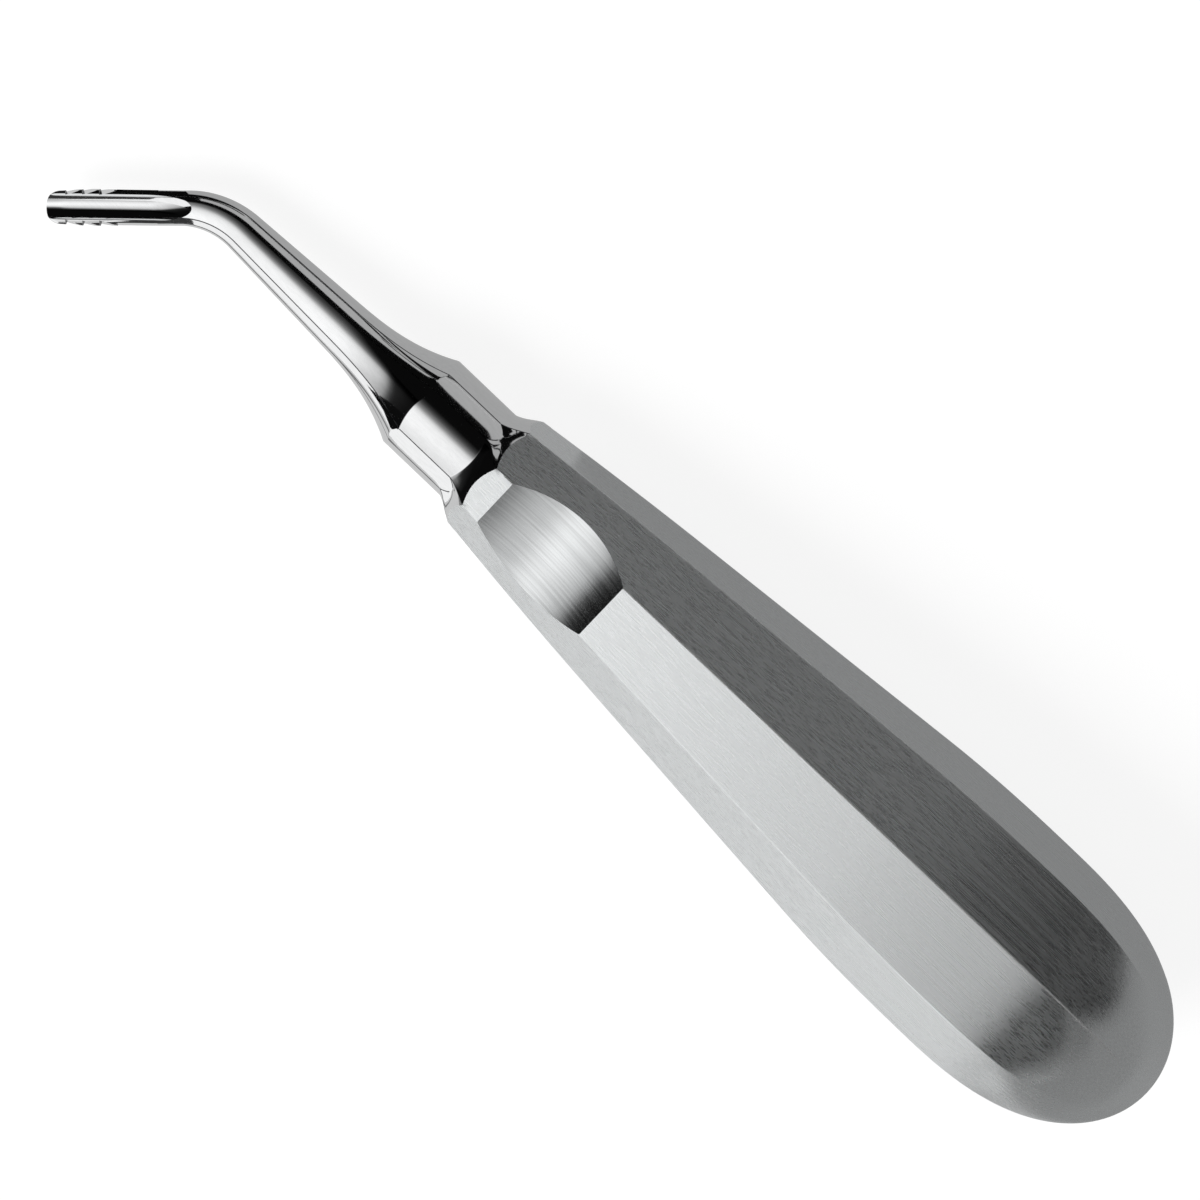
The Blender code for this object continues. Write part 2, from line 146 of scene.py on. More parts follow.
# Rings of points that each stretch of the skin is drawn with, from the butt to the tip.
DOME_RINGS, BELLY_RINGS, TAPER_RINGS, FRONT_RINGS = 40, 14, 12, 20
FLARE_RINGS, COLLAR_RINGS, SHANK_FLARE_RINGS, SHANK_RINGS = 7, 6, 22, 8
BEND_RINGS, BLADE_RINGS, TIP_RINGS = 22, 30, 10

# Rings past the shank that still have ridges, and the columns to a side that the resting place needs.
RIDGED_PAST_SHANK = BEND_RINGS + 2
POSE_COLUMNS = 8

# Grinders: the wheel of the thumb rest, the bar of the blade's hollow and the wedges of the teeth.
WHEEL_SIDES = 512
BAR_RINGS, BAR_LIFT_RINGS, BAR_SIDES = 24, 28, 96
BAR_OVERHANG = 1.5 * MM
BAR_LIFT = math.radians(56.0)
WEDGE_OUT = 2.4 * MM
WEDGE_HALF_HEIGHT = 3.0 * MM
WEDGE_RUNOUT = 0.02 * MM
FEWEST_FACES = 1000

# Finishes, in the order of their slots. The two ridge finishes are painted light: a dark painted
# reflection line on the polished ridges and the steps of the teeth, and a pale painted highlight on the
# handle's upward ridges.
SATIN, MIRROR, MIRROR_PAINTED_DARK, SATIN_PAINTED_HIGHLIGHT, GROUND = range(5)

# Which face gets which: where the handle's ridges end, how far up a ridge faces to take the pale painted
# highlight, how little an edge across the instrument runs along it, and how far towards the tip the step
# of a tooth faces to take the dark painted reflection line.
HANDLE_EDGE = HANDLE_START - 0.2 * MM
PAINTED_HIGHLIGHT_UPWARD = 0.75
CROSSING_RUN = 0.5
STEP_FACING = 0.7

# Shading: the angle from which an edge stays sharp, and how much a face's area counts.
SHARP_FROM = math.radians(17.0)
WEIGHT_OF_AREA = 50

# Grain of the finishes, in streaks to the metre: along, across and upward.
FINE_GRAIN = (900.0, 3000.0, 3000.0)
BRUSHED_GRAIN = (45.0, 6000.0, 6000.0)
WORN_GRAIN = (70.0, 3600.0, 70.0)

# The span of the grain that is used, the colours of the two painted ridge lines (a dark painted
# reflection and a pale painted highlight), and how much darker and glossier the thumb rest is ground
# than the handle.
GRAIN_LOW, GRAIN_HIGH = 0.38, 0.62
PAINTED_DARK_LINE_COLOUR = (0.10, 0.10, 0.105)
PAINTED_HIGHLIGHT_COLOUR = (0.97, 0.975, 0.975)
GROUND_SHADE = 0.88
GROUND_GLOSS = 0.75

# Sockets of a mix node that mixes colours.
MIX_SHARE, MIX_FIRST, MIX_SECOND, MIX_RESULT = 0, 6, 7, 2

# Picture: how far the camera leans off the thumb rest's flat, how the handle slants in it, and its
# middle and width.
VIEW_LEAN = math.radians(20.0)
VIEW_SLANT = math.radians(43.646)
VIEW_WIDTH = 127.4 * MM
VIEW_MIDDLE_ALONG = 57.96 * MM
VIEW_MIDDLE_ACROSS = 2.18 * MM
SENSOR_WIDTH = 36.0

# Ways from the instrument, which lies along X with its tip towards +X.
UP, TIP_WAY, SIDE_WAY = Vector((0.0, 0.0, 1.0)), Vector((1.0, 0.0, 0.0)), Vector((0.0, 1.0, 0.0))

# Studio, in metres and shares of white: the floor, the world, the key light and the light roof.
FLOOR_HALF_WIDTH = 6.0
FLOOR_GLOW, FLOOR_SEEN = 0.84, 0.3
WORLD_FILL, WORLD_SEEN = 0.33, 1.0
KEY_WIDTH, KEY_POWER, KEY_DISTANCE = 1.2, 17.5, 1.6
ROOF_LEAN, ROOF_HEIGHT, ROOF_HALF_LENGTH = math.radians(15.0), 0.26, 1.0
ROOF_LEFT = -ROOF_HEIGHT * math.tan(math.radians(30.0))
ROOF_RIGHT = ROOF_HEIGHT * math.tan(math.radians(27.0))
ROOF_ALONG_REACH, ROOF_ACROSS_REACH = 0.5, 0.2
BLACK = 0.003

# Light roof: its brightness by place along and across the instrument, in metres from its middle.
ROOF_ALONG = (
    (-0.30, 0.30),
    (-0.19, 0.20),
    (-0.115, 0.24),
    (-0.075, 0.43),
    (-0.03, 0.63),
    (0.0, 0.68),
    (0.02, 0.74),
    (0.04, 0.92),
    (0.06, 1.08),
    (0.09, 1.15),
    (0.12, 1.03),
    (0.16, 0.82),
    (0.206, 0.66),
    (0.240, 0.42),
    (0.266, 0.05),
    (0.30, 0.012),
    (0.43, 0.004),
)
ROOF_ACROSS = (
    (-0.145, 0.004),
    (-0.119, 0.06),
    (-0.098, 0.25),
    (-0.087, 0.42),
    (-0.074, 0.78),
    (-0.052, 0.96),
    (0.0, 1.05),
    (0.05, 0.86),
    (0.12, 0.80),
)


def mix(a, b, k):
    """The value that lies the share k of the way from a to b."""
    return a + (b - a) * k


def smooth(k):
    """The share k, held between 0 and 1 and eased at both ends."""
    k = min(max(k, 0.0), 1.0)
    return k * k * (3.0 - 2.0 * k)


# Settings


class ElevatorShape(PropertyGroup):
    """How finely the instrument is modelled"""

    columns: IntProperty(
        name="Columns per side",
        description="Columns of faces across each of the eight sides",
        default=12,
        min=4,
        max=24,
    )
    ridge_rounding: FloatProperty(
        name="Ridge rounding",
        description="How far the ridges between the sides are eased",
        default=0.1 * MM,
        min=0.02 * MM,
        max=0.6 * MM,
        unit="LENGTH",
        precision=5,
    )


class ElevatorFinish(PropertyGroup):
    """Colour and gloss of the steel"""

    satin_colour: FloatVectorProperty(
        name="Satin steel",
        description="Colour of the brushed handle",
        default=(0.90, 0.92, 0.925),
        subtype="COLOR",
        min=0.0,
        max=1.0,
    )
    mirror_colour: FloatVectorProperty(
        name="Mirror steel",
        description="Colour of the polished working end",
        default=(0.86, 0.865, 0.87),
        subtype="COLOR",
        min=0.0,
        max=1.0,
    )
    satin_roughness: FloatProperty(
        name="Satin roughness",
        description="Mean roughness of the brushed handle",
        default=0.30,
        min=0.05,
        max=0.8,
        subtype="FACTOR",
    )
    mirror_roughness: FloatProperty(
        name="Mirror roughness",
        description="Mean roughness of the polished working end",
        default=0.07,
        min=0.0,
        max=0.5,
        subtype="FACTOR",
    )


class ElevatorStudio(PropertyGroup):
    """The floor, the light and the camera"""

    floor_colour: FloatVectorProperty(
        name="Floor",
        description="Colour of the floor",
        default=(0.9, 0.9, 0.9),
        subtype="COLOR",
        min=0.0,
        max=1.0,
    )
    light_level: FloatProperty(
        name="Light level",
        description="Brightness of the soft light above",
        default=1.0,
        min=0.0,
        max=4.0,
        subtype="FACTOR",
    )
    lens: FloatProperty(
        name="Lens",
        description="Focal length of the camera in millimetres",
        default=260.0,
        min=35.0,
        max=300.0,
    )


# Sections


def handle_radius(s):
    """Distance from the axis to a ridge of the handle at the axial place s."""
    if s < TAPER_START:
        back = TAPER_START - s
        drop = TAPER_START_RADIUS - TAPER_SLOPE * HANDLE_FRONT_LENGTH - HANDLE_FRONT_RADIUS
        share = back / HANDLE_FRONT_LENGTH
        return TAPER_START_RADIUS - TAPER_SLOPE * back - drop * share**2
    if s < TAPER_END:
        return TAPER_START_RADIUS + TAPER_SLOPE * (s - TAPER_START)
    if s < BELLY_END:
        rise = BELLY_RADIUS - TAPER_END_RADIUS
        power = TAPER_SLOPE * BELLY_LENGTH / rise
        return TAPER_END_RADIUS + rise * (1.0 - (1.0 - (s - TAPER_END) / BELLY_LENGTH) ** power)
    along = min((s - BELLY_END) / DOME_LENGTH, 1.0)
    return BELLY_RADIUS * math.sqrt(max(1.0 - along**DOME_POWER, 0.0))


def collar_corners():
    """Angles of the eight ridges of the collar, from the middle of its front side."""
    wide, half, full = COLLAR_WIDE_HALF, math.pi, 2.0 * math.pi
    side = wide + COLLAR_NARROW
    return [-wide, wide, side, half - side, half - wide, half + wide, half + side, full - side]


CORNERS = collar_corners() + [2.0 * math.pi - COLLAR_WIDE_HALF]


class Column:
    """One lengthwise line of points: the side it lies on and its place across that side."""

    def __init__(self, index, per_side):
        self.side = index // per_side
        self.across = (index % per_side) / per_side
        self.ridge = index % per_side == 0
        self.bow = 1.0 - (2.0 * self.across - 1.0) ** 2
        self.handle_angle = -HALF_SIDE + (self.side + self.across) * 2.0 * HALF_SIDE
        start, end = CORNERS[self.side], CORNERS[self.side + 1]
        self.collar_angle = mix(start, end, self.across)
        flat = math.cos((end - start) / 2.0) / math.cos(self.collar_angle - (start + end) / 2.0)
        crown = CROWN_NARROW if self.side % 2 else (CROWN_FRONT if self.side % 4 == 0 else CROWN_SIDE)
        self.collar_factor = mix(flat, 1.0, crown)
        self.shank_factor = mix(flat, 1.0, CROWN_SHANK if self.side % 4 == 0 else crown)
        self.flat = math.cos(HALF_SIDE) / math.cos(self.handle_angle - self.side * 2.0 * HALF_SIDE)
        rear_bow = COLLAR_REAR_BOW_NARROW if self.side % 2 else COLLAR_REAR_BOW_WIDE
        self.collar_rear = SHANK_LENGTH + COLLAR_LENGTH + rear_bow * self.bow
        self.collar_front = SHANK_LENGTH - COLLAR_FRONT_BOW * self.bow
        self.handle_front = HANDLE_START - SCALLOP_DEPTH * self.bow


def around(s, radius, angle):
    """A point around the straight axis. The axis runs along -X, and the angle turns from +Z to +Y."""
    return Vector((-s, radius * math.sin(angle), radius * math.cos(angle)))


def handle_stations(columns):
    """Rings from the butt to the scalloped front of the handle."""
    places = []
    for i in range(1, DOME_RINGS + 1):
        places.append(BELLY_END + DOME_LENGTH * math.cos(i / DOME_RINGS * math.pi / 2.0))
    places += [BELLY_END - BELLY_LENGTH * i / BELLY_RINGS for i in range(1, BELLY_RINGS + 1)]
    places += [TAPER_END - TAPER_LENGTH * i / TAPER_RINGS for i in range(1, TAPER_RINGS + 1)]
    for s in places:
        crown = smooth((s - BELLY_END - RIDGE_FADE_START) / (RIDGE_FADE_END - RIDGE_FADE_START))
        radius = handle_radius(s)
        yield [around(s, radius * mix(c.flat, 1.0, crown), c.handle_angle) for c in columns]
    for i in range(1, FRONT_RINGS + 1):
        ring = []
        for c in columns:
            s = mix(TAPER_START, c.handle_front, i / FRONT_RINGS)
            ring.append(around(s, handle_radius(s) * c.flat, c.handle_angle))
        yield ring


def flare_stations(columns):
    """Rings of the concave flare between the handle and the collar."""
    for i in range(1, FLARE_RINGS + 1):
        ring = []
        for c in columns:
            r_back = handle_radius(c.handle_front) * c.flat
            r_front = COLLAR_RADIUS * c.collar_factor
            reach = c.handle_front - c.collar_rear
            slope = math.atan((r_back - r_front) / reach)
            turn = slope + FLARE_SWEEP * (1.0 - 2.0 * i / FLARE_RINGS)
            arc = reach / (2.0 * math.cos(slope) * math.sin(FLARE_SWEEP))
            s = c.collar_rear + arc * (math.sin(turn) - math.sin(slope - FLARE_SWEEP))
            r = r_front + arc * (math.cos(slope - FLARE_SWEEP) - math.cos(turn))
            angle = mix(c.handle_angle, c.collar_angle + WORKING_TURN, smooth(i / FLARE_RINGS))
            ring.append(around(s, r, angle))
        yield ring


def collar_stations(columns):
    """Rings of the collar between its bowed rear and front ends."""
    for i in range(1, COLLAR_RINGS + 1):
        ring = []
        for c in columns:
            s = mix(c.collar_rear, c.collar_front, i / COLLAR_RINGS)
            ring.append(around(s, COLLAR_RADIUS * c.collar_factor, c.collar_angle + WORKING_TURN))
        yield ring


def shank_radius(s):
    """Distance from the axis to a ridge of the shank at the axial place s."""
    straight = SHANK_LENGTH - SHANK_FLARE_LENGTH
    taper = (SHANK_REAR_RADIUS - SHANK_RADIUS) / straight
    base = SHANK_RADIUS + taper * s
    if s < straight:
        return base
    rise = COLLAR_RADIUS - SHANK_RADIUS - taper * SHANK_LENGTH
    return base + rise * ((s - straight) / SHANK_FLARE_LENGTH) ** SHANK_FLARE_POWER


BEND_REACH = BEND_RADIUS * math.tan(BEND_ANGLE / 2.0)
FRONT_WAY = Vector((0.0, math.sin(WORKING_TURN), math.cos(WORKING_TURN)))
BEND_WAY = Vector((0.0, math.cos(WORKING_TURN), -math.sin(WORKING_TURN)))
BLADE_WAY = Vector((math.cos(BEND_ANGLE), 0.0, 0.0)) + BEND_WAY * math.sin(BEND_ANGLE)
BLADE_SIDE = BEND_WAY * math.cos(BEND_ANGLE) - Vector((math.sin(BEND_ANGLE), 0.0, 0.0))


def shank_stations(columns):
    """Rings of the straight shank, from just ahead of the collar to the start of the bend."""
    flare_end = SHANK_LENGTH - SHANK_FLARE_LENGTH
    for i in range(1, SHANK_FLARE_RINGS + 1):
        ring = []
        for c in columns:
            s = mix(c.collar_front, flare_end, (i / SHANK_FLARE_RINGS) ** SHANK_RING_CROWDING)
            share = (s - flare_end) / (c.collar_front - flare_end)
            r = shank_radius(mix(flare_end, SHANK_LENGTH, share))
            factor = mix(c.shank_factor, c.collar_factor, smooth(share))
            ring.append(around(s, r * factor, c.collar_angle + WORKING_TURN))
        yield ring
    for i in range(1, SHANK_RINGS + 1):
        s = mix(flare_end, BEND_REACH, i / SHANK_RINGS)
        radius = shank_radius(s)
        yield [around(s, radius * c.shank_factor, c.collar_angle + WORKING_TURN) for c in columns]


def tip_outline(from_tip):
    """Half width, front height and back depth of the blade at a distance from the tip."""
    along = min(from_tip / SCOOP_LENGTH, 1.0)
    half = mix(BLADE_TIP_HALF_WIDTH, BLADE_TOOTH_HALF_WIDTH, min(from_tip / BLADE_TIP_GROWTH, 1.0))
    half = mix(half, BLADE_ROOT_HALF_WIDTH, smooth(from_tip / BLADE_TIP_GROWTH - 1.0))
    if from_tip < BLADE_TIP_CORNER:
        rest = BLADE_TIP_CORNER - from_tip
        half -= BLADE_TIP_CORNER - math.sqrt(max(BLADE_TIP_CORNER**2 - rest**2, 0.0))
    front = mix(BLADE_TIP_FRONT, BLADE_ROOT_HALF_WIDTH, along**BLADE_FRONT_GROWTH)
    back = mix(BLADE_TIP_BACK, BLADE_ROOT_HALF_WIDTH, along**BLADE_BACK_GROWTH)
    edge = min(from_tip / BLADE_EDGE_LENGTH, 1.0)
    back = mix(BLADE_EDGE_BACK, back, edge)
    return half, front, back


def blade_ring(columns, centre, side_way, radius, from_tip):
    """One ring of the bend or blade: the shank's section turns into the blade's flattened oval."""
    half, front, back = tip_outline(from_tip)
    into_oval = BLADE_LENGTH - BEND_REACH * OVAL_START - from_tip
    share = smooth(into_oval / (BLADE_LENGTH * OVAL_REACH))
    ring = []
    for c in columns:
        across, up = math.sin(c.collar_angle), math.cos(c.collar_angle)
        oval_x = half * math.copysign(abs(across) ** BLADE_SIDE_FULLNESS, across)
        oval_z = (front if up > 0 else back) * math.copysign(abs(up) ** BLADE_FACE_FULLNESS, up)
        x = mix(radius * c.shank_factor * across, oval_x, share)
        z = mix(radius * c.shank_factor * up, oval_z, share)
        ring.append(centre + side_way * x + FRONT_WAY * z)
    return ring


def blade_stations(columns):
    """Rings of the bend, then of the blade out to its tip."""
    turn_centre = Vector((-BEND_REACH, 0.0, 0.0)) + BEND_WAY * BEND_RADIUS
    straight = BLADE_LENGTH - BEND_REACH
    for i in range(1, BEND_RINGS + 1):
        turn = BEND_ANGLE * i / BEND_RINGS
        outward = Vector((math.sin(turn), 0.0, 0.0)) - BEND_WAY * math.cos(turn)
        side_way = BEND_WAY * math.cos(turn) - Vector((math.sin(turn), 0.0, 0.0))
        radius = mix(shank_radius(BEND_REACH), BLADE_ROOT_HALF_WIDTH, i / BEND_RINGS)
        from_tip = straight + BEND_RADIUS * BEND_ANGLE * (1.0 - i / BEND_RINGS)
        yield blade_ring(columns, turn_centre + outward * BEND_RADIUS, side_way, radius, from_tip)
    distances = [mix(straight, BLADE_TIP_CORNER, i / BLADE_RINGS) for i in range(1, BLADE_RINGS)]
    for k in range(TIP_RINGS + 1):
        distances.append(BLADE_TIP_CORNER * (1.0 - math.sin(k * math.pi / (2.0 * TIP_RINGS))))
    for from_tip in distances:
        centre = BLADE_WAY * (BLADE_LENGTH - from_tip)
        yield blade_ring(columns, centre, BLADE_SIDE, BLADE_ROOT_HALF_WIDTH, from_tip)


# Modelling


def vertices(geometry):
    """The vertices among what an operator made."""
    return [item for item in geometry if isinstance(item, bmesh.types.BMVert)]


def edges(geometry):
    """The edges among what an operator made."""
    return [item for item in geometry if isinstance(item, bmesh.types.BMEdge)]


def faces(geometry):
    """The faces among what an operator made."""
    return [item for item in geometry if isinstance(item, bmesh.types.BMFace)]


class Drawing:
    """A tube that is drawn out ring by ring from a circle by extrusion."""

    def __init__(self, bm, first_ring):
        self.bm = bm
        made = bmesh.ops.create_circle(bm, cap_ends=False, segments=len(first_ring), radius=1.0)
        self.ring = made["verts"]
        self.rim = list(dict.fromkeys(edge for vert in self.ring for edge in vert.link_edges))
        self.lengthwise = []
        self.place(first_ring)

    def place(self, points):
        """Lays the ring that is open now on the points."""
        for vert, point in zip(self.ring, points):
            vert.co = point

    def draw(self, points, finish):
        """Extrudes the rim, lays the new ring on the points and gives the new faces a finish."""
        made = bmesh.ops.extrude_edge_only(self.bm, edges=self.rim)["geom"]
        fresh = set(vertices(made))
        step = [next(e for e in vert.link_edges if e.other_vert(vert) in fresh) for vert in self.ring]
        self.ring = [edge.other_vert(vert) for edge, vert in zip(step, self.ring)]
        self.rim = [edge for edge in edges(made) if all(vert in fresh for vert in edge.verts)]
        for face in faces(made):
            face.material_index = finish
        self.place(points)
        self.lengthwise.append(step)

    def cap(self, finish):
        """Closes the rim with one flat face."""
        face = bmesh.ops.contextual_create(self.bm, geom=self.rim)["faces"][0]
        face.material_index = finish
        return face


def new_object(name, bm, finishes):
    """An object in the scene whose mesh is the finished bmesh, with one slot for each finish."""
    bmesh.ops.recalc_face_normals(bm, faces=bm.faces)
    mesh = bpy.data.meshes.new(name)
    bm.to_mesh(mesh)
    bm.free()
    for material in finishes:
        mesh.materials.append(material)
    obj = bpy.data.objects.new(name, mesh)
    bpy.context.scene.collection.objects.link(obj)
    return obj


def body_mesh(shape):
    """The uncut instrument: one skin from the dome of the butt to the tip, with its ridges eased."""
    columns = [Column(i, shape.columns) for i in range(SIDES * shape.columns)]
    bm = bmesh.new()
    handle = list(handle_stations(columns))
    drawing = Drawing(bm, handle[0])
    pole = bmesh.ops.poke(bm, faces=[drawing.cap(SATIN)])
    pole["verts"][0].co = Vector((-BUTT_END, 0.0, 0.0))
    for ring in handle[1:]:
        drawing.draw(ring, SATIN)
    ridge_end = BELLY_END + RIDGE_FADE_END
    ridged_from = next(i for i, ring in enumerate(handle) if -ring[0].x < ridge_end)
    creases = []
    for stations in (flare_stations, collar_stations, shank_stations):
        for ring in stations(columns):
            drawing.draw(ring, MIRROR)
        if stations is not shank_stations:
            creases += drawing.rim
    ridged_to = len(drawing.lengthwise) + RIDGED_PAST_SHANK
    for ring in blade_stations(columns):
        drawing.draw(ring, MIRROR)
    drawing.cap(MIRROR)
    front_from = len(handle) - 1
    for start, end, extra in ((front_from, ridged_to, creases), (ridged_from, front_from, [])):
        ridges = []
        for step in drawing.lengthwise[start:end]:
            ridges += [step[i] for i, c in enumerate(columns) if c.ridge]
        eased = bmesh.ops.bevel(
            bm,
            geom=[edge for edge in ridges + extra if edge.is_valid],
            offset=shape.ridge_rounding,
            offset_type="OFFSET",
            segments=3,
            profile=0.5,
            affect="EDGES",
            clamp_overlap=True,
            material=-1,
        )["faces"]
        bmesh.ops.recalc_face_normals(bm, faces=bm.faces)
        for face in eased:
            longest = max(face.edges, key=lambda edge: edge.calc_length())
            way = longest.verts[1].co - longest.verts[0].co
            if -face.calc_center_median().x > HANDLE_EDGE:
                # Upward-facing ridges of the handle take the pale painted highlight; the rest stay satin
                # steel.
                pale = face.normal.z > PAINTED_HIGHLIGHT_UPWARD and face.normal.y < 0.0
                face.material_index = SATIN_PAINTED_HIGHLIGHT if pale else SATIN
            else:
                # Lengthwise ridges of the polished end take the dark painted reflection line; ridges
                # across the instrument stay mirror steel.
                crossing = abs(way.x) < CROSSING_RUN * way.length
                face.material_index = MIRROR if crossing else MIRROR_PAINTED_DARK
    return bm


def thumb_grinder():
    """A cylinder across the handle that grinds the thumb rest."""
    along = HANDLE_START + REST_FROM_FRONT
    flat = handle_radius(along) * math.cos(HALF_SIDE)
    rise = (handle_radius(along + MM) - handle_radius(along - MM)) / (2.0 * MM)
    lean = math.atan(rise * math.cos(HALF_SIDE))
    outward = Vector((math.sin(lean), 0.0, math.cos(lean)))
    centre = Vector((-along, 0.0, flat - REST_DEPTH)) + outward * REST_RADIUS
    bm = bmesh.new()
    bmesh.ops.create_cone(
        bm,
        cap_ends=True,
        segments=WHEEL_SIDES,
        radius1=REST_RADIUS,
        radius2=REST_RADIUS,
        depth=4.0 * HANDLE_FRONT_RADIUS,
        matrix=Matrix.Translation(centre) @ Matrix.Rotation(math.pi / 2.0, 4, "X"),
    )
    for face in bm.faces:
        face.material_index = GROUND
    return bm


def blade_point(from_tip, x, z):
    """A point by its distance from the tip, its place across the blade and its height off the axis."""
    return BLADE_WAY * (BLADE_LENGTH - from_tip) + BLADE_SIDE * x + FRONT_WAY * z


def scoop_grinder():
    """A round bar that follows the floor of the scoop and lifts out of the blade at the shank end."""

    def floor(from_tip):
        """Height of the hollow's floor over the blade's axis."""
        return tip_outline(max(from_tip, BLADE_TIP_CORNER))[1] - SCOOP_DEPTH

    drop = SCOOP_RUNOUT_RADIUS - SCOOP_DEPTH
    lift_start = SCOOP_LENGTH - math.sqrt(SCOOP_RUNOUT_RADIUS**2 - drop**2)
    lean_start = math.atan((floor(lift_start) - floor(lift_start - MM)) / MM)
    path = []
    for k in range(BAR_RINGS + 1):
        from_tip = mix(-BAR_OVERHANG, lift_start, k / BAR_RINGS)
        path.append((from_tip, floor(from_tip) + SCOOP_RADIUS, lean_start))
    pivot = (
        lift_start - SCOOP_RUNOUT_RADIUS * math.sin(lean_start),
        floor(lift_start) + SCOOP_RUNOUT_RADIUS * math.cos(lean_start),
    )
    bar_turn = SCOOP_RUNOUT_RADIUS - SCOOP_RADIUS
    for k in range(1, BAR_LIFT_RINGS + 1):
        lean = lean_start + BAR_LIFT * k / BAR_LIFT_RINGS
        from_tip, height = pivot[0] + bar_turn * math.sin(lean), pivot[1] - bar_turn * math.cos(lean)
        path.append((from_tip, height, lean))
    rings = []
    for from_tip, height, lean in path:
        ring = []
        for k in range(BAR_SIDES):
            turn = 2.0 * math.pi * (k + 0.5) / BAR_SIDES
            x, up = SCOOP_RADIUS * math.sin(turn) - SCOOP_OFFSET, SCOOP_RADIUS * math.cos(turn)
            ring.append(blade_point(from_tip - up * math.sin(lean), x, height + up * math.cos(lean)))
        rings.append(ring)
    bm = bmesh.new()
    drawing = Drawing(bm, rings[0])
    drawing.cap(MIRROR)
    for ring in rings[1:]:
        drawing.draw(ring, MIRROR)
    drawing.cap(MIRROR)
    return bm


def tooth_grinder():
    """Wedges that grind the barbs: each starts deep at its tip end and runs out toward the shank."""
    bm = bmesh.new()
    out, low, high = WEDGE_OUT, -WEDGE_HALF_HEIGHT, WEDGE_HALF_HEIGHT
    for way in (-1.0, 1.0):
        for k in range(TOOTH_COUNT + 1):
            last = k == TOOTH_COUNT
            near = TOOTH_START + TOOTH_PITCH * k
            far = near + (LAST_TOOTH_RUNOUT if last else TOOTH_LENGTH)
            half_near = tip_outline(near)[0] - (LAST_TOOTH_STEP if last else TOOTH_STEP)
            half_far = tip_outline(far)[0] + WEDGE_RUNOUT
            tilt = TOOTH_LEAN * low
            base = [
                bm.verts.new(blade_point(near, way * (half_near - tilt), low)),
                bm.verts.new(blade_point(far, way * (half_far - tilt), low)),
                bm.verts.new(blade_point(far, way * (half_far + out), low)),
                bm.verts.new(blade_point(near, way * (half_near + out), low)),
            ]
            face = bmesh.ops.contextual_create(bm, geom=base)["faces"][0]
            top = vertices(bmesh.ops.extrude_face_region(bm, geom=[face])["geom"])
            bmesh.ops.translate(bm, verts=top, vec=FRONT_WAY * (high - low))
            middle = BLADE_WAY * (BLADE_LENGTH - (near + far) / 2.0)
            leaned = sorted(top, key=lambda v: abs((v.co - middle).dot(BLADE_SIDE)))[:2]
            lean = BLADE_SIDE * (-way * TOOTH_LEAN * (high - low))
            bmesh.ops.translate(bm, verts=leaned, vec=lean)
    bm.normal_update()
    # The steps of the teeth take the dark painted reflection line; the other faces stay mirror steel.
    for face in bm.faces:
        step = abs(face.normal.dot(BLADE_WAY)) > STEP_FACING
        face.material_index = MIRROR_PAINTED_DARK if step else MIRROR
    return bm


def rest_pose():
    """The turn and shift that lay the lower flat on Z = 0, with the footprint centred on the origin."""
    turn = Matrix.Rotation(REST_TILT, 4, "Y")
    columns = [Column(i, POSE_COLUMNS) for i in range(SIDES * POSE_COLUMNS)]
    points = [turn @ Vector((-BUTT_END, 0.0, 0.0))]
    working_end = (flare_stations, collar_stations, shank_stations, blade_stations)
    for stations in (handle_stations, *working_end):
        points += [turn @ point for ring in stations(columns) for point in ring]
    low = Vector([min(p[i] for p in points) for i in range(3)])
    high = Vector([max(p[i] for p in points) for i in range(3)])
    middle = (low + high) / 2.0
    return Matrix.Translation(Vector((-middle.x, -middle.y, -low.z - FOOT_GRIND))) @ turn


def settle(obj):
    """Leaves an object as the plain mesh that its modifiers give."""
    finished = obj.evaluated_get(bpy.context.evaluated_depsgraph_get())
    plain = bpy.data.meshes.new_from_object(finished)
    rough = obj.data
    obj.modifiers.clear()
    obj.data = plain
    bpy.data.meshes.remove(rough)


def grind(body, grinders):
    """Cuts each grinder out of the body, and leaves the body as a plain mesh."""
    for grinder in grinders:
        modifier = body.modifiers.new(grinder.name, "BOOLEAN")
        modifier.operation = "DIFFERENCE"
        modifier.solver = "EXACT"
        modifier.material_mode = "INDEX"
        modifier.object = grinder
    settle(body)
    for grinder in grinders:
        mesh = grinder.data
        bpy.data.objects.remove(grinder, do_unlink=True)
        bpy.data.meshes.remove(mesh)
    if len(body.data.polygons) < FEWEST_FACES:
        raise RuntimeError("grinding left no body")


# Finishes


def socket(group, name, kind, way, default=None):
    """Adds a named socket to a node group."""
    made = group.interface.new_socket(name=name, in_out=way, socket_type=kind)
    if default is not None:
        made.default_value = default


def reckoned(nodes, links, operation, first, second):
    """The result of a math node on a socket and a second socket or plain number."""
    node = nodes.new("ShaderNodeMath")
    node.operation = operation
    links.new(first, node.inputs[0])
    if isinstance(second, float):
        node.inputs[1].default_value = second
    else:
        links.new(second, node.inputs[1])
    return node.outputs[0]


def ranged(nodes, links, source, low, high, near=0.0, far=1.0):
    """Maps a value between near and far to one between low and high."""
    node = nodes.new("ShaderNodeMapRange")
    for name, value in zip(("From Min", "From Max", "To Min", "To Max"), (near, far, low, high)):
        node.inputs[name].default_value = value
    links.new(source, node.inputs["Value"])
    return node.outputs["Result"]


def blended(nodes, links, share, first, second):
    """The colour that lies a share of the way between two."""
    node = nodes.new("ShaderNodeMix")
    node.data_type = "RGBA"
    node.inputs[MIX_FIRST].default_value = (*first, 1.0)
    node.inputs[MIX_SECOND].default_value = (*second, 1.0)
    links.new(share, node.inputs[MIX_SHARE])
    return node.outputs[MIX_RESULT]


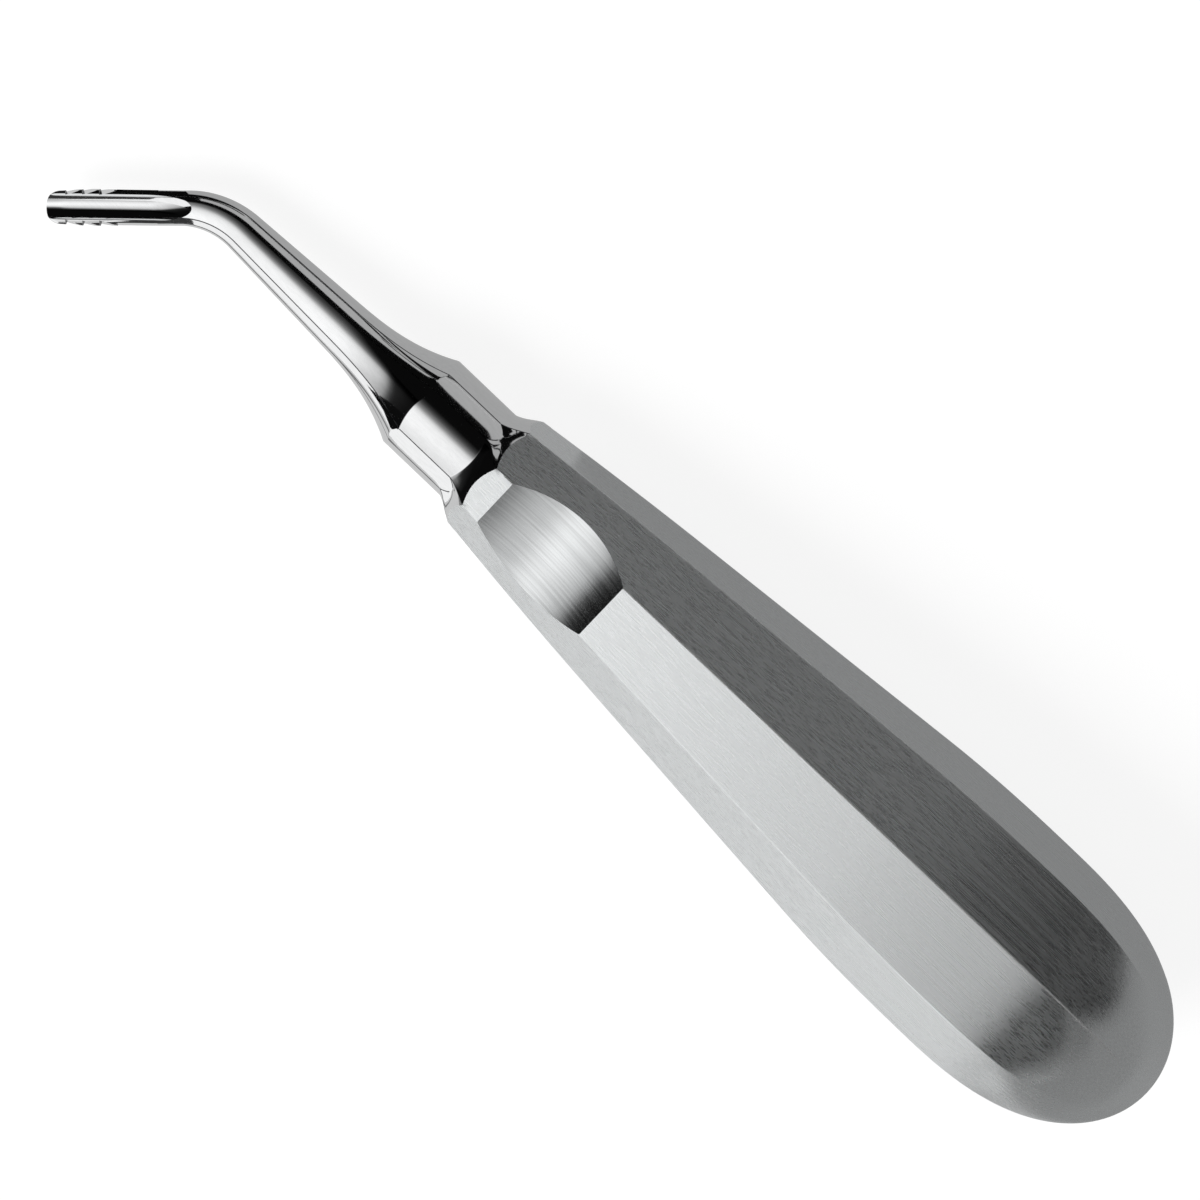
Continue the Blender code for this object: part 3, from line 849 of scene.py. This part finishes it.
def grain_group():
    """Fine streaks along the instrument, as grinding and polishing leave them."""
    group = bpy.data.node_groups.new("lengthwise_grain", "ShaderNodeTree")
    socket(group, "Vector", "NodeSocketVector", "INPUT")
    socket(group, "Along", "NodeSocketFloat", "INPUT", 250.0)
    socket(group, "Across", "NodeSocketFloat", "INPUT", 5000.0)
    socket(group, "Upward", "NodeSocketFloat", "INPUT", 5000.0)
    socket(group, "Streaks", "NodeSocketFloat", "OUTPUT")
    nodes, links = group.nodes, group.links
    start = nodes.new("NodeGroupInput")
    end = nodes.new("NodeGroupOutput")
    scale = nodes.new("ShaderNodeCombineXYZ")
    for way, axis in (("Along", "X"), ("Across", "Y"), ("Upward", "Z")):
        links.new(start.outputs[way], scale.inputs[axis])
    stretch = nodes.new("ShaderNodeVectorMath")
    stretch.operation = "MULTIPLY"
    links.new(start.outputs["Vector"], stretch.inputs[0])
    links.new(scale.outputs[0], stretch.inputs[1])
    streaks = nodes.new("ShaderNodeTexNoise")
    for name, value in (("Scale", 1.0), ("Detail", 3.0), ("Roughness", 0.6)):
        streaks.inputs[name].default_value = value
    links.new(stretch.outputs[0], streaks.inputs["Vector"])
    links.new(streaks.outputs[0], end.inputs["Streaks"])
    return group


def steel(name, group, colour, roughness, spread, gloss, fineness, depth, stretch):
    """Solid steel whose grain varies its colour and gloss, and stretches its gloss across the grain."""
    material = bpy.data.materials.new(name)
    material.use_nodes = True
    nodes, links = material.node_tree.nodes, material.node_tree.links
    shader = nodes["Principled BSDF"]
    shader.inputs["Metallic"].default_value = 1.0
    if stretch:
        shader.inputs["Anisotropic"].default_value = stretch
        lie = nodes.new("ShaderNodeTangent")
        lie.direction_type = "RADIAL"
        lie.axis = "X"
        links.new(lie.outputs["Tangent"], shader.inputs["Tangent"])
    place = nodes.new("ShaderNodeTexCoord")
    turn = nodes.new("ShaderNodeMapping")
    turn.inputs["Rotation"].default_value = (0.0, -REST_TILT, 0.0)
    links.new(place.outputs["Object"], turn.inputs["Vector"])
    grain = nodes.new("ShaderNodeGroup")
    grain.node_tree = group
    for way, scale in zip(("Along", "Across", "Upward"), fineness):
        grain.inputs[way].default_value = scale
    links.new(turn.outputs["Vector"], grain.inputs["Vector"])
    streaks = grain.outputs["Streaks"]
    dim = [value * (1.0 - spread) for value in colour]
    lit = [min(value * (1.0 + spread), 1.0) for value in colour]
    share = ranged(nodes, links, streaks, 0.0, 1.0, GRAIN_LOW, GRAIN_HIGH)
    links.new(blended(nodes, links, share, dim, lit), shader.inputs["Base Color"])
    sleek, dull = roughness * (1.0 - gloss), roughness * (1.0 + gloss)
    sheen = ranged(nodes, links, streaks, sleek, dull, GRAIN_LOW, GRAIN_HIGH)
    links.new(sheen, shader.inputs["Roughness"])
    bump = nodes.new("ShaderNodeBump")
    bump.inputs["Strength"].default_value = 1.0
    bump.inputs["Distance"].default_value = depth
    links.new(streaks, bump.inputs["Height"])
    links.new(bump.outputs["Normal"], shader.inputs["Normal"])
    material.diffuse_color = (*colour, 1.0)
    return material


def steel_finishes(finish):
    """The finishes of the instrument, in the order of their slots."""
    group = grain_group()
    satin, mirror = tuple(finish.satin_colour), tuple(finish.mirror_colour)
    ground = tuple(value * GROUND_SHADE for value in satin)
    rough, sleek = finish.satin_roughness, finish.mirror_roughness
    # Name, colour, roughness, spread of colour, spread of gloss, grain, depth of grain, and how far the
    # grain draws the gloss out.
    rows = (
        ("satin_steel", satin, rough, 0.055, 0.18, BRUSHED_GRAIN, 1.8e-5, 0.85),
        ("mirror_steel", mirror, sleek, 0.02, 0.02, FINE_GRAIN, 2.0e-8, 0.0),
        # The dark ridge finish is a painted reflection: dark lines on the polished ridges and tooth
        # steps.
        ("mirror_ridge", PAINTED_DARK_LINE_COLOUR, 0.3, 0.2, 0.2, FINE_GRAIN, 1.0e-7, 0.0),
        # The pale, rough ridge finish is a painted highlight on the handle's upward ridges.
        ("satin_ridge", PAINTED_HIGHLIGHT_COLOUR, 0.8, 0.03, 0.1, BRUSHED_GRAIN, 2.0e-6, 0.0),
        ("ground_steel", ground, rough * GROUND_GLOSS, 0.12, 0.1, WORN_GRAIN, 3.0e-6, 0.6),
    )
    return [steel(name, group, *values) for name, *values in rows]


# Studio


def picture_frame():
    """The camera's right, up and back directions, and the point at the middle of the picture."""
    slanted, level = math.cos(VIEW_SLANT), math.sin(VIEW_SLANT)
    butt_way = Vector((-1.0, 0.0, 0.0))
    light_way = Vector((0.0, math.cos(VIEW_LEAN), math.sin(VIEW_LEAN)))
    right = butt_way * slanted - light_way * level
    up = -butt_way * level - light_way * slanted
    middle = butt_way * VIEW_MIDDLE_ALONG + light_way * VIEW_MIDDLE_ACROSS
    pose = rest_pose()
    turn = pose.to_3x3()
    return turn @ right, turn @ up, turn @ right.cross(up), pose @ middle


def bearing(distance, across, along):
    """A point at a distance: across turns from straight up to the light side, along turns to the tip."""
    return Vector(
        (
            distance * math.sin(along),
            distance * math.cos(along) * math.sin(across),
            distance * math.cos(along) * math.cos(across),
        )
    )


def seen_mask(nodes, links):
    """1 for what the camera sees, also in metal and through glass, and 0 for what lights a surface."""
    path = nodes.new("ShaderNodeLightPath")
    mask = path.outputs["Is Camera Ray"]
    for ray in ("Is Glossy Ray", "Is Transmission Ray"):
        mask = reckoned(nodes, links, "MAXIMUM", mask, path.outputs[ray])
    return mask


def lay_floor(colour):
    """A plain pale floor that is seen as white and keeps the instrument's shadow."""
    bm = bmesh.new()
    bmesh.ops.create_grid(bm, x_segments=1, y_segments=1, size=FLOOR_HALF_WIDTH)
    material = bpy.data.materials.new("studio_floor")
    material.use_nodes = True
    floor = new_object("studio_floor", bm, [material])
    nodes, links = material.node_tree.nodes, material.node_tree.links
    shader = nodes["Principled BSDF"]
    shader.inputs["Roughness"].default_value = 0.9
    shader.inputs["Specular IOR Level"].default_value = 0.0
    seen = seen_mask(nodes, links)
    dimmed = [value * FLOOR_SEEN for value in colour]
    links.new(blended(nodes, links, seen, colour, dimmed), shader.inputs["Base Color"])
    shader.inputs["Emission Color"].default_value = (1.0, 1.0, 1.0, 1.0)
    links.new(ranged(nodes, links, seen, 0.0, FLOOR_GLOW), shader.inputs["Emission Strength"])


def card(name, start, end, half_width, along, tone):
    """A flat card from one edge to another, seen only in reflections, and its glow."""
    bm = bmesh.new()
    bmesh.ops.create_grid(bm, x_segments=1, y_segments=1, size=1.0)
    middle, reach = (start + end) / 2.0, (end - start) / 2.0
    for vert in bm.verts:
        vert.co = middle + reach * vert.co.x + along * (vert.co.y * half_width)
    material = bpy.data.materials.new(name)
    material.use_nodes = True
    nodes, links = material.node_tree.nodes, material.node_tree.links
    nodes.clear()
    glow = nodes.new("ShaderNodeEmission")
    glow.inputs["Strength"].default_value = tone
    links.new(glow.outputs[0], nodes.new("ShaderNodeOutputMaterial").inputs["Surface"])
    obj = new_object(name, bm, [material])
    obj.visible_camera = False
    obj.visible_diffuse = False
    obj.visible_shadow = False
    return glow, nodes, links


def profile(nodes, links, source, reach, stops):
    """A brightness profile along one way of a card, from stops of place in metres and brightness."""
    ramp = nodes.new("ShaderNodeValToRGB")
    ramp.color_ramp.interpolation = "B_SPLINE"
    elements = ramp.color_ramp.elements
    while len(elements) > 1:
        elements.remove(elements[-1])
    elements[0].position = (stops[0][0] + reach) / (2.0 * reach)
    for where, level in stops[1:]:
        elements.new((where + reach) / (2.0 * reach))
    peak = max(level for where, level in stops)
    for element, (where, level) in zip(elements, stops):
        element.color = (level / peak, level / peak, level / peak, 1.0)
    links.new(ranged(nodes, links, source, 0.0, 1.0, -reach, reach), ramp.inputs["Fac"])
    return reckoned(nodes, links, "MULTIPLY", ramp.outputs["Color"], peak)


def hang_roof():
    """The soft light above, whose glow varies along and across the instrument."""
    middle = bearing(1.0, ROOF_LEAN, 0) * ROOF_HEIGHT
    side = bearing(1.0, ROOF_LEAN + math.radians(90), 0)
    left, right = middle + side * ROOF_LEFT, middle + side * ROOF_RIGHT
    glow, nodes, links = card("light_roof", left, right, ROOF_HALF_LENGTH, TIP_WAY, 1.0)
    place = nodes.new("ShaderNodeTexCoord")
    turned = nodes.new("ShaderNodeVectorRotate")
    turned.rotation_type = "X_AXIS"
    turned.inputs["Angle"].default_value = ROOF_LEAN
    links.new(place.outputs["Object"], turned.inputs["Vector"])
    parts = nodes.new("ShaderNodeSeparateXYZ")
    links.new(turned.outputs["Vector"], parts.inputs["Vector"])
    lengthwise = profile(nodes, links, parts.outputs["X"], ROOF_ALONG_REACH, ROOF_ALONG)
    crosswise = profile(nodes, links, parts.outputs["Y"], ROOF_ACROSS_REACH, ROOF_ACROSS)
    both = reckoned(nodes, links, "MULTIPLY", lengthwise, crosswise)
    links.new(both, glow.inputs["Strength"])


def upper_cards():
    """Cards that close the studio above the floor: name, two edges, half width, its way and tone."""
    deg = math.radians
    roof = bearing(1.0, ROOF_LEAN, 0) * ROOF_HEIGHT
    roof_side = bearing(1.0, ROOF_LEAN + deg(90), 0)
    ahead = roof + TIP_WAY * 0.62
    near, far = ahead + roof_side * ROOF_RIGHT, ahead + roof_side * 0.4
    shoulder, low = bearing(0.6, deg(-76), 0), bearing(0.6, deg(-90), 0)
    front, back = TIP_WAY * 0.45, TIP_WAY * -0.55
    end = Vector((0.7, 0.0, 0.0))
    return (
        ("dark_card_front", near, far, 0.385, TIP_WAY, 0.004),
        ("dark_card_side", roof + roof_side * ROOF_LEFT, shoulder, 1.0, TIP_WAY, BLACK),
        ("grey_card_side", shoulder + front, low + front, 0.5, TIP_WAY, 0.42),
        ("dim_card_side", shoulder + back, low + back, 0.5, TIP_WAY, 0.12),
        ("dark_card_tip", end + UP * 0.32, end, 0.91, SIDE_WAY, BLACK),
    )


def floor_cards():
    """Cards that lie or stand on the floor: name, two edges, half width, its way and tone."""
    lift, thin = UP * (0.2 * MM), UP * (0.5 * MM)
    ahead, behind, right = lift + TIP_WAY * 0.365, lift + TIP_WAY * -0.335, SIDE_WAY * -0.5
    tip_side, low_side = Vector((0.45, -0.26, 0.0)), Vector((0.36, -0.42, 0.0))
    blade = rest_pose() @ (BLADE_WAY * (BLADE_LENGTH / 2.0))
    blade.z = 0.5 * MM
    off, run = Vector((0.695, -0.719, 0.0)), Vector((0.719, 0.695, 0.0))
    far, near = blade + run * 0.06, blade - run * 0.0009
    butt_side, butt_run = Vector((-0.406, 0.889, 0.0)), Vector((0.879, 0.477, 0.0))
    beside = Vector((0.0609, 0.0194, 0.0)) + thin
    wedge, wedge_run = Vector((0.045, -0.068, 0.0)) + thin, Vector((0.966, 0.258, 0.0))
    over, half = Vector((-0.080, 0.035, 0.10)), TIP_WAY * 0.010
    butt = Vector((-0.27, 0.0, 0.0))
    return (
        # The grey cards just above the floor are what the steel reflects in place of the floor; the two
        # on the side away from the key light are a painted shadow of the floor in those reflections.
        ("grey_card_floor_ahead", right + ahead, ahead, 0.35, TIP_WAY, 0.40),
        ("grey_card_floor_shade", right + behind, behind, 0.35, TIP_WAY, 0.27),
        ("grey_card_floor_light", lift, SIDE_WAY * 0.5 + lift, 0.7, TIP_WAY, 0.62),
        ("dark_card_low", tip_side + UP * 0.10, tip_side, 0.09, Vector((0.515, 0.857, 0.0)), BLACK),
        ("dark_card_strip", low_side + UP * 0.025, low_side, 0.2, Vector((0.777, 0.629, 0.0)), BLACK),
        ("dark_card_floor", far + off * 0.010, far + off * 0.35, 0.106, run, BLACK),
        ("dark_card_blade", near + off * 0.003, near + off * 0.010, 0.0042, run, BLACK),
        ("dark_card_butt", butt_side + UP * 0.98, butt_side, 0.13, butt_run, 0.04),
        ("dark_card_beside", beside, beside + Vector((-0.143, 0.264, 0.0)), 0.011, butt_run, 0.2),
        ("dark_card_wedge", wedge, wedge + Vector((0.07, -0.26, 0.0)), 0.02, wedge_run, 0.01),
        ("dark_card_over", over - half, over + half, 0.05, SIDE_WAY, 0.03),
        ("grey_card_butt", butt + UP * 0.27, butt, 0.45, SIDE_WAY, 0.22),
        ("grey_card_butt_floor", TIP_WAY * -0.079 + thin, butt + thin, 0.3, SIDE_WAY, 0.27),
    )


def set_key_light(scene, level):
    """A large soft lamp high on the light side, not seen in reflections."""
    lamp = bpy.data.lights.new("key_light", "AREA")
    lamp.shape = "RECTANGLE"
    lamp.size, lamp.size_y = KEY_WIDTH, KEY_WIDTH
    lamp.energy = KEY_POWER * level
    key_light = bpy.data.objects.new("key_light", lamp)
    spot = bearing(KEY_DISTANCE, math.radians(42), math.radians(8))
    key_light.location = spot
    key_light.rotation_euler = spot.to_track_quat("Z", "Y").to_euler()
    key_light.visible_glossy = False
    scene.collection.objects.link(key_light)


def set_world(scene):
    """A white background that fills the shadows at a lower level."""
    world = bpy.data.worlds.new("studio_world")
    scene.world = world
    world.use_nodes = True
    nodes, links = world.node_tree.nodes, world.node_tree.links
    background = nodes["Background"]
    background.inputs["Color"].default_value = (1.0, 1.0, 1.0, 1.0)
    level = ranged(nodes, links, seen_mask(nodes, links), WORLD_FILL, WORLD_SEEN)
    links.new(level, background.inputs["Strength"])


def set_camera(scene, lens):
    """The camera at the picture's angle, as far off as its lens asks."""
    right, up, back, middle = picture_frame()
    eye = bpy.data.cameras.new("picture")
    eye.sensor_width = SENSOR_WIDTH
    eye.lens = lens
    eye.clip_start = 0.01
    camera = bpy.data.objects.new("picture", eye)
    placed = Matrix((right, up, back)).transposed().to_4x4()
    placed.translation = middle + back * (VIEW_WIDTH * lens / eye.sensor_width)
    camera.matrix_world = placed
    scene.collection.objects.link(camera)
    scene.camera = camera


# Operators


class ELEVATOR_OT_instrument(Operator):
    """Model the one-piece steel instrument in place of its plain solid"""

    bl_idname = "elevator.instrument"
    bl_label = "Build instrument"

    def execute(self, context):
        finishes = steel_finishes(context.scene.elevator_finish)
        body = new_object("elevator_body", body_mesh(context.scene.elevator_shape), finishes)
        grinders = [
            new_object("thumb_rest", thumb_grinder(), finishes),
            new_object("scoop", scoop_grinder(), finishes),
            new_object("teeth", tooth_grinder(), finishes),
        ]
        pose = rest_pose()
        for obj in [body] + grinders:
            obj.data.transform(pose)
        for vert in body.data.vertices:
            vert.co.z = max(vert.co.z, 0.0)
        grind(body, grinders)
        body.data.shade_smooth()
        body.data.set_sharp_from_angle(angle=SHARP_FROM)
        weighted = body.modifiers.new("weighted_normals", "WEIGHTED_NORMAL")
        weighted.keep_sharp = True
        weighted.weight = WEIGHT_OF_AREA
        settle(body)
        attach(body, "root")
        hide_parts("elevator")
        return {"FINISHED"}


class ELEVATOR_OT_studio(Operator):
    """Set the floor, the soft light, the cards that the polish shows, and the camera"""

    bl_idname = "elevator.studio"
    bl_label = "Build studio"

    def execute(self, context):
        scene, studio = context.scene, context.scene.elevator_studio
        lay_floor(tuple(studio.floor_colour))
        hang_roof()
        for row in upper_cards() + floor_cards():
            card(*row)
        set_key_light(scene, studio.light_level)
        set_world(scene)
        set_camera(scene, studio.lens)
        scene.view_settings.view_transform = "Standard"
        return {"FINISHED"}


class ELEVATOR_PT_sidebar(Panel):
    """The sizes and colours that may be changed, and the two build steps"""

    bl_label = "Dental elevator"
    bl_idname = "ELEVATOR_PT_sidebar"
    bl_space_type = "VIEW_3D"
    bl_region_type = "UI"
    bl_category = "Elevator"

    def draw(self, context):
        scene, layout = context.scene, self.layout
        for owner, title in (
            (scene.elevator_shape, "Shape"),
            (scene.elevator_finish, "Finish"),
            (scene.elevator_studio, "Studio"),
        ):
            box = layout.box()
            box.label(text=title)
            for name in owner.__annotations__:
                box.prop(owner, name)
        layout.operator(ELEVATOR_OT_instrument.bl_idname)
        layout.operator(ELEVATOR_OT_studio.bl_idname)


CLASSES = (
    ElevatorShape,
    ElevatorFinish,
    ElevatorStudio,
    ELEVATOR_OT_instrument,
    ELEVATOR_OT_studio,
    ELEVATOR_PT_sidebar,
)


def register():
    for cls in CLASSES:
        bpy.utils.register_class(cls)
    bpy.types.Scene.elevator_shape = PointerProperty(type=ElevatorShape)
    bpy.types.Scene.elevator_finish = PointerProperty(type=ElevatorFinish)
    bpy.types.Scene.elevator_studio = PointerProperty(type=ElevatorStudio)


def unregister():
    del bpy.types.Scene.elevator_studio
    del bpy.types.Scene.elevator_finish
    del bpy.types.Scene.elevator_shape
    for cls in reversed(CLASSES):
        bpy.utils.unregister_class(cls)


def main():
    register()
    bpy.ops.elevator.instrument()
    bpy.ops.elevator.studio()


if __name__ == "__main__":
    main()
